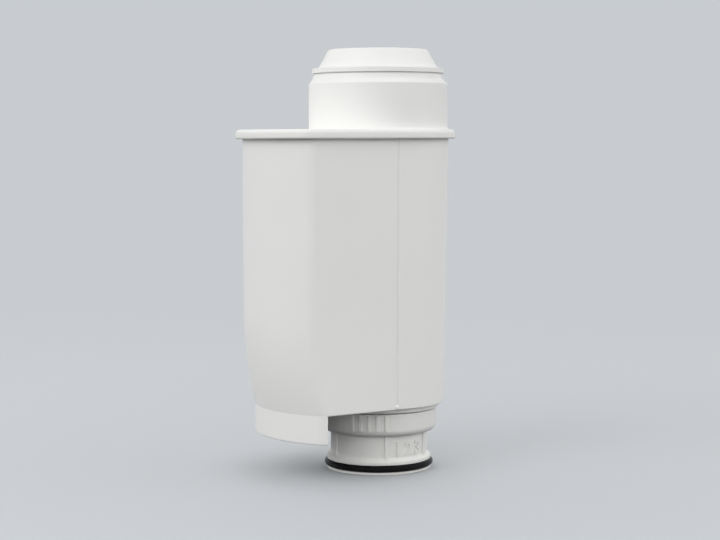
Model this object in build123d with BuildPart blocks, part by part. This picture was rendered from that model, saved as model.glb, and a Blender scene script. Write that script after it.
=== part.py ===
from build123d import *
import os
from math import acos, atan2, cos, degrees, hypot, radians, sin

# Water filter cartridge of an automatic coffee machine, standing on its outlet nozzle.
# Millimetres, +Z up. The origin is on the nozzle's axis, in the face that the filter stands on.
# The wide bowed front faces -Y and the round end +Y.

# Body: heights and walls
body_bottom = 20.8
body_height = 81.8
wall = 1.8
floor_thickness = 2.0
bottom_rounding = 0.4

# Body: plan at its bottom edge, and how it grows upwards
round_end_radius = 20.4
front_width = 55.4
inner_corner_radius = 2.3
corner_setback = 14.93
front_reach = 42.1
front_tuck = 3.4
front_tuck_height = 29.5
draft_growth = 1.4
form_sections = 12

# Inlet skirt below the front, and the divider above its back wall
divider_reach = 23.25
skirt_drop = 8.45
overflow_gap = 8.0
strainer_ledge = 1.2

# Index mark low on the side that the dial is read from
index_radius = 0.55
index_proud = 0.4
index_rise = 1.0

# Round boss under the body, just above the dial's collar
boss_overhang = 0.75
boss_drop = 1.45
boss_wall = 1.8

# Lid: flange, locating rim and tower
flange_thickness = 2.9
flange_overhang = 2.1
flange_rounding = 1.2
flange_under_rounding = 0.6
lid_rim_depth = 3.0
lid_rim_thickness = 1.2
lid_fit_gap = 0.1
tower_radius = 21.45
tower_height = 14.0
tower_wall = 2.2
shoulder_inset = 1.15
shoulder_height = 1.3
tower_lip_inset = 0.5
tower_lip_height = 1.65

# Filling cap
cap_plug_depth = 7.0
cap_plug_wall = 1.6
cap_fit_gap = 0.05
pull_groove_depth = 0.7
pull_groove_height = 0.2
pull_ring_ledge = 1.9
pull_ring_thickness = 1.5
cap_head_height = 5.85
cap_head_base_radius = 18.5
cap_head_top_radius = 15.3
cap_head_foot_rounding = 1.6
cap_head_top_rounding = 0.9
cap_top_thickness = 1.8

# Nozzle of the setting dial
land_overhang = 1.15
foot_land = 0.8
upper_land = 1.0
land_flare = 1.1
land_rounding = 0.3
neck_wall = 2.04
neck_foot_rounding = 0.8
nozzle_foot = 5.0
nozzle_foot_step = 0.86

# Ring seals
nozzle_seal_cord = 2.1
nozzle_seal_stand_out = 0.75
spigot_seal_cord = 1.3
seal_side_gap = 0.05
seal_root_gap = 0.05

# Collar of the setting dial
collar_bottom = 11.9
collar_wall = 1.6
cup_width = 1.25
collar_rounding = 2.2
dial_top_gap = 0.35
grip_ribs = 5
grip_rib_pitch = 8.5
grip_rib_start = -42.0
grip_rib_width = 1.2
grip_rib_proud = 0.35
grip_rib_wrap = 8.0
neck_rib_angles = (-74.0, -7.0, 49.0, 106.0, 173.0, 229.0)
neck_rib_width = 1.1
neck_rib_proud = 0.6

# Spigot of the body, which the dial turns on
spigot_radius = 13.0
spigot_wall = 2.4
spigot_end_gap = 0.3
running_gap = 0.06
snap_bead_height = 0.8
snap_bead_proud = 0.35
snap_bead_rise = 1.2
snap_gap = 0.3
spigot_seal_rise = 5.0

# Settings: three metering holes in the dial pass one port in the spigot, which is shut at rest
setting_lead = 7.5
setting_step = 14.25
setting_holes = (0.4, 0.7, 1.0)
port_radius = 1.1
port_drop = 4.4
port_angle = 90.0
stop_angle = -90.0
stop_width = 2.2
stop_length = 4.4
stop_gap = 0.3

# Filter bed between its screens and fleeces
head_room = 10.7
screen_thickness = 1.5
fleece_thickness = 2.0
screen_rib_height = 2.0
screen_rib_width = 1.2
screen_rib_length = 4.0
screen_ribs = 8
insert_gap = 0.2
slot_width = 1.2
slot_length = 6.0
slot_pitch = 3.2
slot_row_pitch = 7.6
slot_rim = 1.2
slot_columns = 24
slot_rows = 12

# Heights and radii that follow from the sizes above
mouth = body_bottom + body_height
floor_top = body_bottom + floor_thickness
corner_radius = inner_corner_radius + wall
skirt_bottom = body_bottom - skirt_drop
divider_front = divider_reach + wall
divider_height = body_height - floor_thickness - overflow_gap
tower_base = mouth + flange_thickness
shoulder_bottom = tower_base + tower_height
shoulder_top = shoulder_bottom + shoulder_height
shoulder_radius = tower_radius - shoulder_inset
tower_top = shoulder_top + tower_lip_height
tower_bore = tower_radius - tower_wall
ring_bottom = tower_top + pull_groove_height
ring_top = ring_bottom + pull_ring_thickness
cap_top = ring_top + cap_head_height
cap_plug_radius = tower_bore - cap_fit_gap
pull_ring_radius = cap_head_base_radius + pull_ring_ledge
dial_bore = spigot_radius + running_gap
outlet_radius = dial_bore - nozzle_foot_step
neck_radius = dial_bore + neck_wall
land_radius = neck_radius + land_overhang
cup_radius = neck_radius + cup_width
collar_radius = cup_radius + collar_wall
boss_radius = collar_radius + boss_overhang
boss_bottom = body_bottom - boss_drop
head_foot_rounding = min(cap_head_foot_rounding, pull_ring_ledge)
seal_groove_width = nozzle_seal_cord + 2 * seal_side_gap
seal_groove_top = foot_land + seal_groove_width
land_top = seal_groove_top + upper_land
nozzle_seal_radius = land_radius + nozzle_seal_stand_out - nozzle_seal_cord / 2
seal_groove_root = nozzle_seal_radius - nozzle_seal_cord / 2 - seal_root_gap
dial_top = boss_bottom - dial_top_gap
cup_floor = collar_bottom + collar_wall
spigot_bottom = nozzle_foot + spigot_end_gap
spigot_bore = spigot_radius - spigot_wall
spigot_seal_level = spigot_bottom + spigot_seal_rise
spigot_seal_radius = spigot_radius - spigot_seal_cord / 2
screen_level = floor_top + screen_rib_height
lower_fleece_level = screen_level + screen_thickness
bed_level = lower_fleece_level + fleece_thickness
upper_screen_level = mouth - head_room - screen_thickness
upper_fleece_level = upper_screen_level - fleece_thickness
bed_height = upper_fleece_level - bed_level
plan_reach = 2 * (front_reach + front_width)

os.makedirs("parts", exist_ok=True)


def finish(piece, name):
    """Label a finished piece and write it to its file."""
    piece.label = name
    export_step(piece, f"parts/{name}.step")


def flip(point):
    """The same point on the other side of the plane of symmetry."""
    return (-point[0], point[1])


def growth_at(level):
    """How far the draft has moved each side outwards at a height."""
    return draft_growth * (level - body_bottom) / body_height


def front_at(level):
    """Distance of the front's middle from the axis at a height."""
    below = max(0.0, front_tuck_height - (level - body_bottom))
    return front_reach - front_tuck * (below / front_tuck_height) ** 2


def corner_at(level):
    """Centre of the right corner's arc at a height."""
    across = front_width / 2 - corner_radius + growth_at(level)
    return (across, corner_setback - front_at(level))


def side_angle_at(level):
    """Angle from +X of the normal of the right flat side at a height."""
    across, along = corner_at(level)
    taper = round_end_radius + growth_at(level) - corner_radius
    return atan2(along, across) + acos(taper / hypot(across, along))


def body_plan(level, inset=0.0):
    """The body's outline at a height, moved in by an inset and drawn at the origin."""
    across, along = corner_at(level)
    end_radius = round_end_radius + growth_at(level) - inset
    corner = corner_radius - inset
    bow = corner_setback**2 + across**2 - corner_radius**2
    front_radius = bow / (2 * (corner_setback - corner_radius))
    front_centre = front_radius - front_at(level)
    side_angle = side_angle_at(level)
    front_angle = atan2(along - front_centre, across)
    middle_angle = (side_angle + front_angle) / 2

    def on_corner(angle):
        return (across + corner * cos(angle), along + corner * sin(angle))

    end_point = (end_radius * cos(side_angle), end_radius * sin(side_angle))
    side_point = on_corner(side_angle)
    corner_point = on_corner(middle_angle)
    front_point = on_corner(front_angle)
    with BuildSketch() as plan:
        with BuildLine():
            ThreePointArc(flip(end_point), (0, end_radius), end_point)
            Line(end_point, side_point)
            ThreePointArc(side_point, corner_point, front_point)
            ThreePointArc(front_point, (0, inset - front_at(level)), flip(front_point))
            ThreePointArc(flip(front_point), flip(corner_point), flip(side_point))
            Line(flip(side_point), flip(end_point))
        make_face()
    return plan.sketch


def front_plan(level, inset, back):
    """The part of the outline that lies further forward than a distance from the axis."""
    with BuildSketch() as plan:
        add(body_plan(level, inset))
        with Locations((0, -back - plan_reach / 2)):
            Rectangle(plan_reach, plan_reach, mode=Mode.INTERSECT)
    return plan.sketch


def chamber_plan(level, gap):
    """The outline of the filter chamber behind the divider, smaller by a gap all round."""
    with BuildSketch() as plan:
        add(body_plan(level, wall + gap))
        with Locations((0, plan_reach / 2 - divider_reach + gap)):
            Rectangle(plan_reach, plan_reach, mode=Mode.INTERSECT)
    return plan.sketch


def slot_plan(window):
    """A field of slots, cut to the window that it shows through."""
    with BuildSketch() as plan:
        with GridLocations(slot_pitch, slot_row_pitch, slot_columns, slot_rows):
            SlotOverall(slot_length, slot_width, rotation=90)
        add(window, mode=Mode.INTERSECT)
    return plan.sketch


def body_form(bottom, inset=0.0):
    """The body's drafted form from a height up to the mouth, moved in by an inset."""
    with BuildPart() as form:
        for section in range(form_sections + 1):
            level = bottom + (mouth - bottom) * section / form_sections
            with BuildSketch(Plane.XY.offset(level)):
                add(body_plan(level, inset))
        loft()
    return form.part


def round_edge(piece, level, radius):
    """The round edge of a piece nearest to a height and a radius about the nozzle's axis."""
    rings = piece.edges().filter_by(GeomType.CIRCLE)
    return min(rings, key=lambda ring: abs(ring.center().Z - level) + abs(ring.radius - radius))


def upright_plane(direction):
    """The plane that stands on the nozzle's axis and runs out in a direction."""
    way = radians(direction)
    return Plane(origin=(0, 0, 0), x_dir=(cos(way), sin(way), 0), z_dir=(sin(way), -cos(way), 0))


def ring_seal(radius, cord, level):
    """A ring of round cord about the nozzle's axis."""
    with BuildPart() as ring:
        with BuildSketch(Plane.XZ):
            with Locations((radius, level)):
                Circle(cord / 2)
        revolve(axis=Axis.Z)
    return ring.part


def chamber_plate(level, thickness, slotted):
    """A plate that fits the filter chamber at a height, plain or slotted."""
    with BuildPart() as plate:
        with BuildSketch(Plane.XY.offset(level)):
            add(chamber_plan(level, insert_gap))
            if slotted:
                add(slot_plan(chamber_plan(level, slot_rim)), mode=Mode.SUBTRACT)
        extrude(amount=thickness)
    return plate.part


# The two chambers inside the body, with the divider between them
with BuildPart() as hollow:
    add(body_form(floor_top, wall))
    with Locations((0, -divider_reach - wall / 2, floor_top + divider_height / 2)):
        Box(plan_reach, wall, divider_height, mode=Mode.SUBTRACT)

# Housing: body, inlet skirt and outlet spigot
with BuildPart() as housing:
    add(body_form(body_bottom))
    fillet(housing.faces().sort_by(Axis.Z)[0].edges(), bottom_rounding)
    with BuildSketch(Plane.XY.offset(skirt_bottom)):
        add(front_plan(body_bottom, 0, divider_reach))
    extrude(amount=skirt_drop + floor_thickness)
    add(hollow.part, mode=Mode.SUBTRACT)
    with BuildSketch(Plane.XY.offset(skirt_bottom)):
        add(front_plan(body_bottom, wall, divider_front))
    extrude(amount=skirt_drop, mode=Mode.SUBTRACT)
    with BuildSketch(Plane.XY.offset(body_bottom)):
        add(front_plan(body_bottom, wall + strainer_ledge, divider_front + strainer_ledge))
    extrude(amount=floor_thickness, mode=Mode.SUBTRACT)

    # Ribs that hold the lower screen clear of the floor
    rib_middle = spigot_radius + screen_rib_length / 2
    with BuildSketch(Plane.XY.offset(floor_top)):
        with PolarLocations(rib_middle, screen_ribs):
            Rectangle(screen_rib_length, screen_rib_width)
    extrude(amount=screen_rib_height)

    # Boss that covers the top of the dial's collar
    with BuildSketch(Plane.XY.offset(boss_bottom)):
        Circle(boss_radius)
        Circle(boss_radius - boss_wall, mode=Mode.SUBTRACT)
    extrude(amount=boss_drop)

    # Spigot with its snap bead, seal groove and bore
    with BuildSketch(Plane.XY.offset(spigot_bottom)):
        Circle(spigot_radius)
    extrude(amount=floor_top - spigot_bottom)
    with BuildSketch(Plane.XY.offset(spigot_bottom + snap_bead_rise)):
        Circle(spigot_radius + snap_bead_proud)
    extrude(amount=snap_bead_height)
    spigot_groove_width = spigot_seal_cord + 2 * seal_side_gap
    with BuildSketch(Plane.XY.offset(spigot_seal_level - spigot_groove_width / 2)):
        Circle(spigot_radius)
        Circle(spigot_radius - spigot_seal_cord - seal_root_gap, mode=Mode.SUBTRACT)
    extrude(amount=spigot_groove_width, mode=Mode.SUBTRACT)
    with BuildSketch(Plane.XY.offset(spigot_bottom)):
        Circle(spigot_bore)
    extrude(amount=floor_top - spigot_bottom, mode=Mode.SUBTRACT)

    # Bypass port through the spigot's wall, and the stop lug of the dial
    port_way = (cos(radians(port_angle)), sin(radians(port_angle)), 0)
    with BuildSketch(Plane((0, 0, body_bottom - port_drop), z_dir=port_way)):
        Circle(port_radius)
    extrude(amount=spigot_radius, mode=Mode.SUBTRACT)
    lug_thickness = cup_radius - neck_radius - 2 * stop_gap
    with BuildSketch(Plane.XY.offset(body_bottom - stop_length)):
        with PolarLocations((cup_radius + neck_radius) / 2, 1, start_angle=stop_angle):
            Rectangle(lug_thickness, stop_width)
    extrude(amount=stop_length)

    # Index mark on the right side, above the dial
    index_level = body_bottom + index_rise
    side_way = side_angle_at(index_level)
    side_distance = (round_end_radius + growth_at(index_level)) / cos(side_way)
    index_way = (cos(side_way), sin(side_way), 0)
    index_plane = Plane((side_distance, 0, index_level), z_dir=index_way)
    with BuildSketch(index_plane.offset(-wall / 2)):
        Circle(index_radius)
    extrude(amount=wall / 2 + index_proud)
finish(housing.part, "housing")

# Lid: flange, locating rim and tower
with BuildPart() as lid:
    with BuildSketch(Plane.XY.offset(mouth)):
        add(body_plan(mouth, -flange_overhang))
    extrude(amount=flange_thickness)
    fillet(lid.faces().sort_by(Axis.Z)[0].edges(), flange_under_rounding)
    fillet(lid.faces().sort_by(Axis.Z)[-1].edges(), flange_rounding)
    rim_level = mouth - lid_rim_depth
    rim_inset = wall + lid_fit_gap
    with BuildSketch(Plane.XY.offset(rim_level)):
        add(body_plan(rim_level, rim_inset))
        add(body_plan(rim_level, rim_inset + lid_rim_thickness), mode=Mode.SUBTRACT)
    extrude(amount=lid_rim_depth)
    with BuildSketch(Plane.XZ):
        with BuildLine():
            Polyline(
                (0, tower_base),
                (tower_radius, tower_base),
                (tower_radius, shoulder_bottom),
                (shoulder_radius, shoulder_top),
                (shoulder_radius - tower_lip_inset, tower_top),
                (0, tower_top),
                close=True,
            )
        make_face()
    revolve(axis=Axis.Z)
    with BuildSketch(Plane.XY.offset(mouth)):
        Circle(tower_bore)
    extrude(amount=tower_top - mouth, mode=Mode.SUBTRACT)
finish(lid.part, "lid")

# Filling cap: plug, pull ring and conical head, hollow from below
with BuildPart() as filling_cap:
    groove_radius = pull_ring_radius - pull_groove_depth
    with BuildSketch(Plane.XZ):
        with BuildLine():
            Polyline(
                (0, cap_top),
                (cap_head_top_radius, cap_top),
                (cap_head_base_radius, ring_top),
                (pull_ring_radius, ring_top),
                (pull_ring_radius, ring_bottom),
                (groove_radius, ring_bottom),
                (groove_radius, tower_top),
                (cap_plug_radius, tower_top),
                (cap_plug_radius, tower_top - cap_plug_depth),
                (0, tower_top - cap_plug_depth),
                close=True,
            )
        make_face()
    revolve(axis=Axis.Z)
    fillet(round_edge(filling_cap, ring_top, cap_head_base_radius), head_foot_rounding)
    fillet(round_edge(filling_cap, cap_top, cap_head_top_radius), cap_head_top_rounding)
    cap_hollow_radius = cap_plug_radius - cap_plug_wall
    with BuildSketch(Plane.XZ):
        with BuildLine():
            Polyline(
                (0, cap_top - cap_top_thickness),
                (cap_head_top_radius - cap_top_thickness, cap_top - cap_top_thickness),
                (cap_head_base_radius - cap_top_thickness, ring_top),
                (cap_hollow_radius, ring_bottom),
                (cap_hollow_radius, tower_top - cap_plug_depth),
                (0, tower_top - cap_plug_depth),
                close=True,
            )
        make_face()
    revolve(axis=Axis.Z, mode=Mode.SUBTRACT)
finish(filling_cap.part, "filling_cap")

# Setting dial: nozzle, neck and collar, which turn on the spigot
with BuildPart() as setting_dial:
    with BuildSketch(Plane.XZ):
        with BuildLine():
            Polyline(
                (outlet_radius, 0),
                (land_radius, 0),
                (land_radius, foot_land),
                (seal_groove_root, foot_land),
                (seal_groove_root, seal_groove_top),
                (land_radius, seal_groove_top),
                (land_radius, land_top),
                (neck_radius, land_top + land_flare),
                (neck_radius, collar_bottom),
                (collar_radius, collar_bottom),
                (collar_radius, dial_top),
                (cup_radius, dial_top),
                (cup_radius, cup_floor),
                (neck_radius, cup_floor),
                (neck_radius, dial_top),
                (dial_bore, dial_top),
                (dial_bore, nozzle_foot),
                (outlet_radius, nozzle_foot),
                close=True,
            )
        make_face()
    revolve(axis=Axis.Z)
    fillet(round_edge(setting_dial, collar_bottom, collar_radius), collar_rounding)
    fillet(round_edge(setting_dial, land_top + land_flare, neck_radius), neck_foot_rounding)
    fillet(round_edge(setting_dial, land_top, land_radius), land_rounding)
    fillet(round_edge(setting_dial, 0, land_radius), land_rounding)

    # Groove that the spigot's snap bead runs in
    snap_level = spigot_bottom + snap_bead_rise - snap_gap
    with BuildSketch(Plane.XY.offset(snap_level)):
        Circle(spigot_radius + snap_bead_proud + snap_gap)
        Circle(outlet_radius, mode=Mode.SUBTRACT)
    extrude(amount=snap_bead_height + 2 * snap_gap, mode=Mode.SUBTRACT)

    # Grip ribs on the two sides of the collar, which follow its rounded lower edge
    grip_angle = degrees(grip_rib_width / collar_radius)
    grip_outside = collar_radius + grip_rib_proud
    grip_inside = collar_radius - grip_rib_proud
    grip_bend = (collar_radius - collar_rounding, collar_bottom + collar_rounding)
    for side in (0, 180):
        for rib in range(grip_ribs):
            rib_start = grip_rib_start + side + grip_rib_pitch * rib - grip_angle / 2
            with BuildSketch(upright_plane(rib_start)):
                with BuildLine():
                    outer = CenterArc(grip_bend, collar_rounding + grip_rib_proud, 0, -grip_rib_wrap)
                    inner = CenterArc(grip_bend, collar_rounding - grip_rib_proud, 0, -grip_rib_wrap)
                    Polyline(outer @ 0, (grip_outside, dial_top), (grip_inside, dial_top), inner @ 0)
                    Line(outer @ 1, inner @ 1)
                make_face()
            revolve(axis=Axis.Z, revolution_arc=grip_angle)

    # Ribs on the neck
    for rib_angle in neck_rib_angles:
        with BuildSketch(Plane.XY.offset(land_top)):
            with PolarLocations(neck_radius, 1, start_angle=rib_angle):
                Rectangle(2 * neck_rib_proud, neck_rib_width)
        extrude(amount=collar_bottom - land_top)

    # Stops in the collar's cup, one at each end of the settings
    cup_middle = (cup_radius + neck_radius) / 2
    settings_travel = setting_lead + setting_step * (len(setting_holes) - 1)
    stop_spread = degrees((stop_width + stop_gap) / cup_middle)
    for stop_place in (stop_angle - stop_spread, stop_angle + settings_travel + stop_spread):
        with BuildSketch(Plane.XY.offset(cup_floor)):
            with PolarLocations(cup_middle, 1, start_angle=stop_place):
                Rectangle(cup_radius - neck_radius + 2 * stop_gap, stop_width)
        extrude(amount=dial_top - cup_floor)

    # Metering holes, one for each setting, which come to the spigot's port in turn
    for setting, hole_radius in enumerate(setting_holes):
        hole_angle = radians(port_angle + setting_lead + setting * setting_step)
        hole_way = (cos(hole_angle), sin(hole_angle), 0)
        with BuildSketch(Plane((0, 0, body_bottom - port_drop), z_dir=hole_way)):
            Circle(hole_radius)
        extrude(amount=cup_middle, mode=Mode.SUBTRACT)
finish(setting_dial.part, "setting_dial")

# Ring seals
seal_level = foot_land + seal_groove_width / 2
finish(ring_seal(nozzle_seal_radius, nozzle_seal_cord, seal_level), "nozzle_seal_ring")
finish(ring_seal(spigot_seal_radius, spigot_seal_cord, spigot_seal_level), "spigot_seal_ring")

# Inlet strainer, pressed up against the ledge inside the skirt
with BuildPart() as inlet_strainer:
    with BuildSketch(Plane.XY.offset(body_bottom - screen_thickness)):
        add(front_plan(body_bottom, wall + insert_gap, divider_front + insert_gap))
        strainer_window = front_plan(body_bottom, wall + slot_rim, divider_front + slot_rim)
        add(slot_plan(strainer_window), mode=Mode.SUBTRACT)
    extrude(amount=screen_thickness)
finish(inlet_strainer.part, "inlet_strainer")

# Filter bed, which fills the drafted chamber, with a fleece and a screen at each end
with BuildPart() as filter_media:
    add(body_form(bed_level, wall + insert_gap))
    bed_middle = plan_reach / 2 - divider_reach + insert_gap
    with Locations((0, bed_middle, bed_level + bed_height / 2)):
        Box(plan_reach, plan_reach, bed_height, mode=Mode.INTERSECT)
finish(filter_media.part, "filter_media")
finish(chamber_plate(screen_level, screen_thickness, slotted=True), "lower_screen")
finish(chamber_plate(lower_fleece_level, fleece_thickness, slotted=False), "lower_fleece")
finish(chamber_plate(upper_fleece_level, fleece_thickness, slotted=False), "upper_fleece")
finish(chamber_plate(upper_screen_level, screen_thickness, slotted=True), "upper_screen")
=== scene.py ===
from math import acos, atan2, cos, hypot, pi, radians, sin, tan

import bmesh
import bpy
from mathutils import Matrix, Vector


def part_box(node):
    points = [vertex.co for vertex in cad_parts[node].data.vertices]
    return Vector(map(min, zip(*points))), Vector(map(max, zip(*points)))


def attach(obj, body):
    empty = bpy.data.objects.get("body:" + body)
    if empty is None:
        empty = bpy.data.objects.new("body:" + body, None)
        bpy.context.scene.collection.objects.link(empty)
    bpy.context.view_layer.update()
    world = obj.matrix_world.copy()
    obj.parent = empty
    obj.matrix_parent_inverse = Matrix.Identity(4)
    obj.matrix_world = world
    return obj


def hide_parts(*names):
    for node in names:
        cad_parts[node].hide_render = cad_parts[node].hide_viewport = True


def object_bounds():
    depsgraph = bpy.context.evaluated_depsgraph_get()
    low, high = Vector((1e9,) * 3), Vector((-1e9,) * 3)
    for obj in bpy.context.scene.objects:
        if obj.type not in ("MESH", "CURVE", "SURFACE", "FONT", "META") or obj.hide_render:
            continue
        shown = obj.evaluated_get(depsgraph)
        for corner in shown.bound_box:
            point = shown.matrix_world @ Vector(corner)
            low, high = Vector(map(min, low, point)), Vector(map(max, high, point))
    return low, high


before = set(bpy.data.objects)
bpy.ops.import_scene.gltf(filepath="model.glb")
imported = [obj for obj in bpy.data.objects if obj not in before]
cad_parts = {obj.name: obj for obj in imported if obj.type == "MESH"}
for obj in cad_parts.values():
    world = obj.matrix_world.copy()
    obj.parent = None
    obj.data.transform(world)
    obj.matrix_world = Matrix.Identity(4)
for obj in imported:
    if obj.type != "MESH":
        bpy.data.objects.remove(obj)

bl_info = {
    "name": "Water Filter Cartridge",
    "version": (1, 0, 0),
    "blender": (4, 5, 0),
    "location": "View3D > Sidebar > Water Filter",
    "description": "Models a tank filter cartridge with its turning nozzle around a fixed frame",
    "category": "Object",
}

MM = 0.001
CAD_BOX = [list(corner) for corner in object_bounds()]
HOUSING_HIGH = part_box("housing")[1]
LID_LOW, LID_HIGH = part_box("lid")
CAP_LOW, CAP_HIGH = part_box("filling_cap")
DIAL_LOW, DIAL_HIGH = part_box("setting_dial")
SEAL_LOW, SEAL_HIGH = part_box("nozzle_seal_ring")
STRAINER_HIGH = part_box("inlet_strainer")[1]
FLANGE_OVERHANG = LID_HIGH.y - HOUSING_HIGH.y
FRONT_REACH = -LID_LOW.y - FLANGE_OVERHANG

# Fineness of the meshes
MERGE_DISTANCE = 1e-7
SMOOTH_ANGLE = radians(32)
ROUNDING_STEPS = 6
TURN_STEPS = 240
FRONT_STEPS = 16
CORNER_STEPS = 12
SIDE_STEPS = 30
END_STEPS = 40
TUCK_RINGS = 24
INNER_RINGS = 12
LINE_RINGS = 12
MARK_STEPS = 6
MARK_SIDES = 32
HOLE_SIDES = 48
GRIP_BEND_STEPS = 4
CORD_STEPS = 48
EDGE_SEGMENTS = 3

# Details of the pieces: counts, directions in degrees, shares of a size and a cutter's clearance
FLOOR_RIBS = 8
NECK_RIB_DIRECTIONS = (-74.0, -7.0, 49.0, 106.0, 173.0, 229.0)
NUMERALS = ("1", "2", "3")
RIB_EDGE_SHARE = 0.6
FLANGE_EDGE_SHARE = 1.25
MARK_LEAN = 0.8
MARK_CROWN_STEP = 0.5
CUT_CLEARANCE = 0.05 * MM

# Stage: a lamp's name, the setting of its power, its angle from the camera and its rise in degrees,
# and its distance and width in metres
LAMPS = (
    ("key_lamp", "key", -50.0, 38.0, 0.9, 0.6),
    ("fill_lamp", "fill", 80.0, 8.0, 0.9, 0.4),
)
FLOOR_SIZE = 12.0
SKY_MIDDLE = 0.4
SENSOR_WIDTH = 36.0


def length(label, description, default):
    """A length that a user can change, in metres."""
    return bpy.props.FloatProperty(
        name=label, description=description, default=default, precision=5, subtype="DISTANCE", unit="LENGTH"
    )


def angle(label, description, default):
    """An angle that a user can change, given here in degrees."""
    return bpy.props.FloatProperty(
        name=label, description=description, default=radians(default), subtype="ANGLE", unit="ROTATION"
    )


def colour(label, description, default):
    """A surface colour that a user can change, in linear light."""
    return bpy.props.FloatVectorProperty(
        name=label, description=description, default=default, size=3, min=0.0, max=1.0, subtype="COLOR"
    )


def amount(label, description, default):
    """A plain number that a user can change."""
    return bpy.props.FloatProperty(name=label, description=description, default=default, min=0.0)


def count(label, description, default):
    """A whole number that a user can change."""
    return bpy.props.IntProperty(name=label, description=description, default=default, min=1)


class HousingSizes(bpy.types.PropertyGroup):
    """Sizes of the housing and of its inlet skirt"""

    mouth: length("Mouth", "Height of the rim that carries the lid", HOUSING_HIGH.z)
    body_bottom: length("Body bottom", "Height of the body's underside", STRAINER_HIGH.z)
    skirt_drop: length("Skirt", "How far the inlet skirt hangs below the body", 8.45 * MM)
    wall: length("Wall", "Thickness of the walls", 1.8 * MM)
    floor: length("Floor", "Thickness of the floor", 2.0 * MM)
    draft: length("Draft", "How far each side moves out from the bottom to the mouth", 1.4 * MM)
    end_radius: length("Round end", "Radius of the round end at the mouth", HOUSING_HIGH.y)
    half_width: length("Half width", "Half of the width across the front at the mouth", HOUSING_HIGH.x)
    front_reach: length("Front", "Distance of the front from the nozzle's axis", FRONT_REACH)
    corner_radius: length("Corners", "Radius of the two front corners in plan", 4.1 * MM)
    corner_setback: length("Corner setback", "Distance of the corner centres behind the front", 14.93 * MM)
    tuck: length("Tuck", "How far the front curves in at its lower edge", 3.4 * MM)
    tuck_height: length("Tuck height", "Height over which the front curves in", 29.5 * MM)
    bottom_rounding: length("Bottom rounding", "Radius of the body's lower edge", 0.4 * MM)
    divider_reach: length("Divider", "Distance of the divider's back from the nozzle's axis", 23.25 * MM)
    overflow: length("Overflow", "Opening between the divider and the mouth", 8.0 * MM)
    ledge: length("Ledge", "Width of the ledge that the strainer is pressed against", 1.2 * MM)
    edge_rounding: length("Edge rounding", "Radius of the skirt's edges", 0.3 * MM)
    line_width: length("Parting line", "Width of the mould's parting line", 1.0 * MM)
    line_depth: length("Parting line depth", "Depth of the groove at the parting line", 0.36 * MM)
    mark_radius: length("Index mark", "Radius of the index mark above the dial", 0.55 * MM)
    mark_proud: length("Index mark height", "How far the index mark stands out", 0.4 * MM)
    mark_rise: length("Index mark rise", "Height of the index mark above the body's underside", 1.0 * MM)
    boss_radius: length("Boss", "Radius of the round boss above the dial's collar", 18.7 * MM)
    boss_drop: length("Boss drop", "How far the boss hangs below the body", 1.45 * MM)
    boss_wall: length("Boss wall", "Thickness of the boss's wall", 1.8 * MM)
    rib_height: length("Floor ribs", "Height of the ribs that carry the lower screen", 2.0 * MM)
    rib_width: length("Floor rib width", "Width of the ribs that carry the lower screen", 1.2 * MM)
    rib_length: length("Floor rib length", "Length of the ribs that carry the lower screen", 4.0 * MM)


class SpigotSizes(bpy.types.PropertyGroup):
    """Sizes of the spigot that the dial turns on"""

    radius: length("Radius", "Outer radius of the spigot", 13.0 * MM)
    bore: length("Bore", "Radius of the way through the spigot", 10.6 * MM)
    bottom: length("Bottom", "Height of the spigot's lower end", 5.3 * MM)
    bead_rise: length("Bead rise", "Height of the snap bead above the lower end", 1.2 * MM)
    bead_height: length("Bead height", "Height of the snap bead", 0.8 * MM)
    bead_proud: length("Bead", "How far the snap bead stands out", 0.35 * MM)
    groove_rise: length("Groove rise", "Height of the seal groove above the lower end", 4.3 * MM)
    groove_height: length("Groove height", "Height of the seal groove", 1.4 * MM)
    groove_depth: length("Groove depth", "Depth of the seal groove", 1.35 * MM)
    port_radius: length("Port", "Radius of the bypass port", 1.1 * MM)
    port_drop: length("Port drop", "Depth of the bypass port below the body", 4.4 * MM)
    lug_length: length("Lug", "How far the stop lug hangs down", 4.4 * MM)
    lug_width: length("Lug width", "Width of the stop lug", 2.2 * MM)
    lug_thickness: length("Lug thickness", "Thickness of the stop lug", 0.65 * MM)


class LidSizes(bpy.types.PropertyGroup):
    """Sizes of the flange and the tower"""

    overhang: length("Overhang", "How far the flange stands out past the body", FLANGE_OVERHANG)
    flange: length("Flange", "Thickness of the flange", 2.9 * MM)
    flange_rounding: length("Flange rounding", "Radius of the flange's upper edge", 1.2 * MM)
    under_rounding: length("Flange underside", "Radius of the flange's lower edge", 0.6 * MM)
    rim_depth: length("Rim depth", "Depth of the rim that locates the lid", HOUSING_HIGH.z - LID_LOW.z)
    rim_thickness: length("Rim", "Thickness of the rim that locates the lid", 1.2 * MM)
    fit_gap: length("Fit gap", "Clearance of the rim in the housing", 0.1 * MM)
    tower_radius: length("Tower", "Radius of the tower", 21.45 * MM)
    tower_wall: length("Tower wall", "Thickness of the tower's wall", 2.2 * MM)
    tower_height: length("Tower height", "Height of the tower's straight wall", 14.0 * MM)
    tower_top: length("Tower top", "Height of the tower's upper edge", LID_HIGH.z)
    tower_foot: length("Tower foot", "Radius of the fillet at the tower's foot", 0.5 * MM)
    shoulder_inset: length("Shoulder inset", "How far the shoulder goes in", 1.15 * MM)
    shoulder_height: length("Shoulder", "Height of the sloping shoulder", 1.3 * MM)
    shoulder_rounding: length("Shoulder rounding", "Radius of the shoulder's edges", 0.8 * MM)
    lip_inset: length("Lip inset", "How far the lip above the shoulder goes in", 0.5 * MM)


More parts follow.
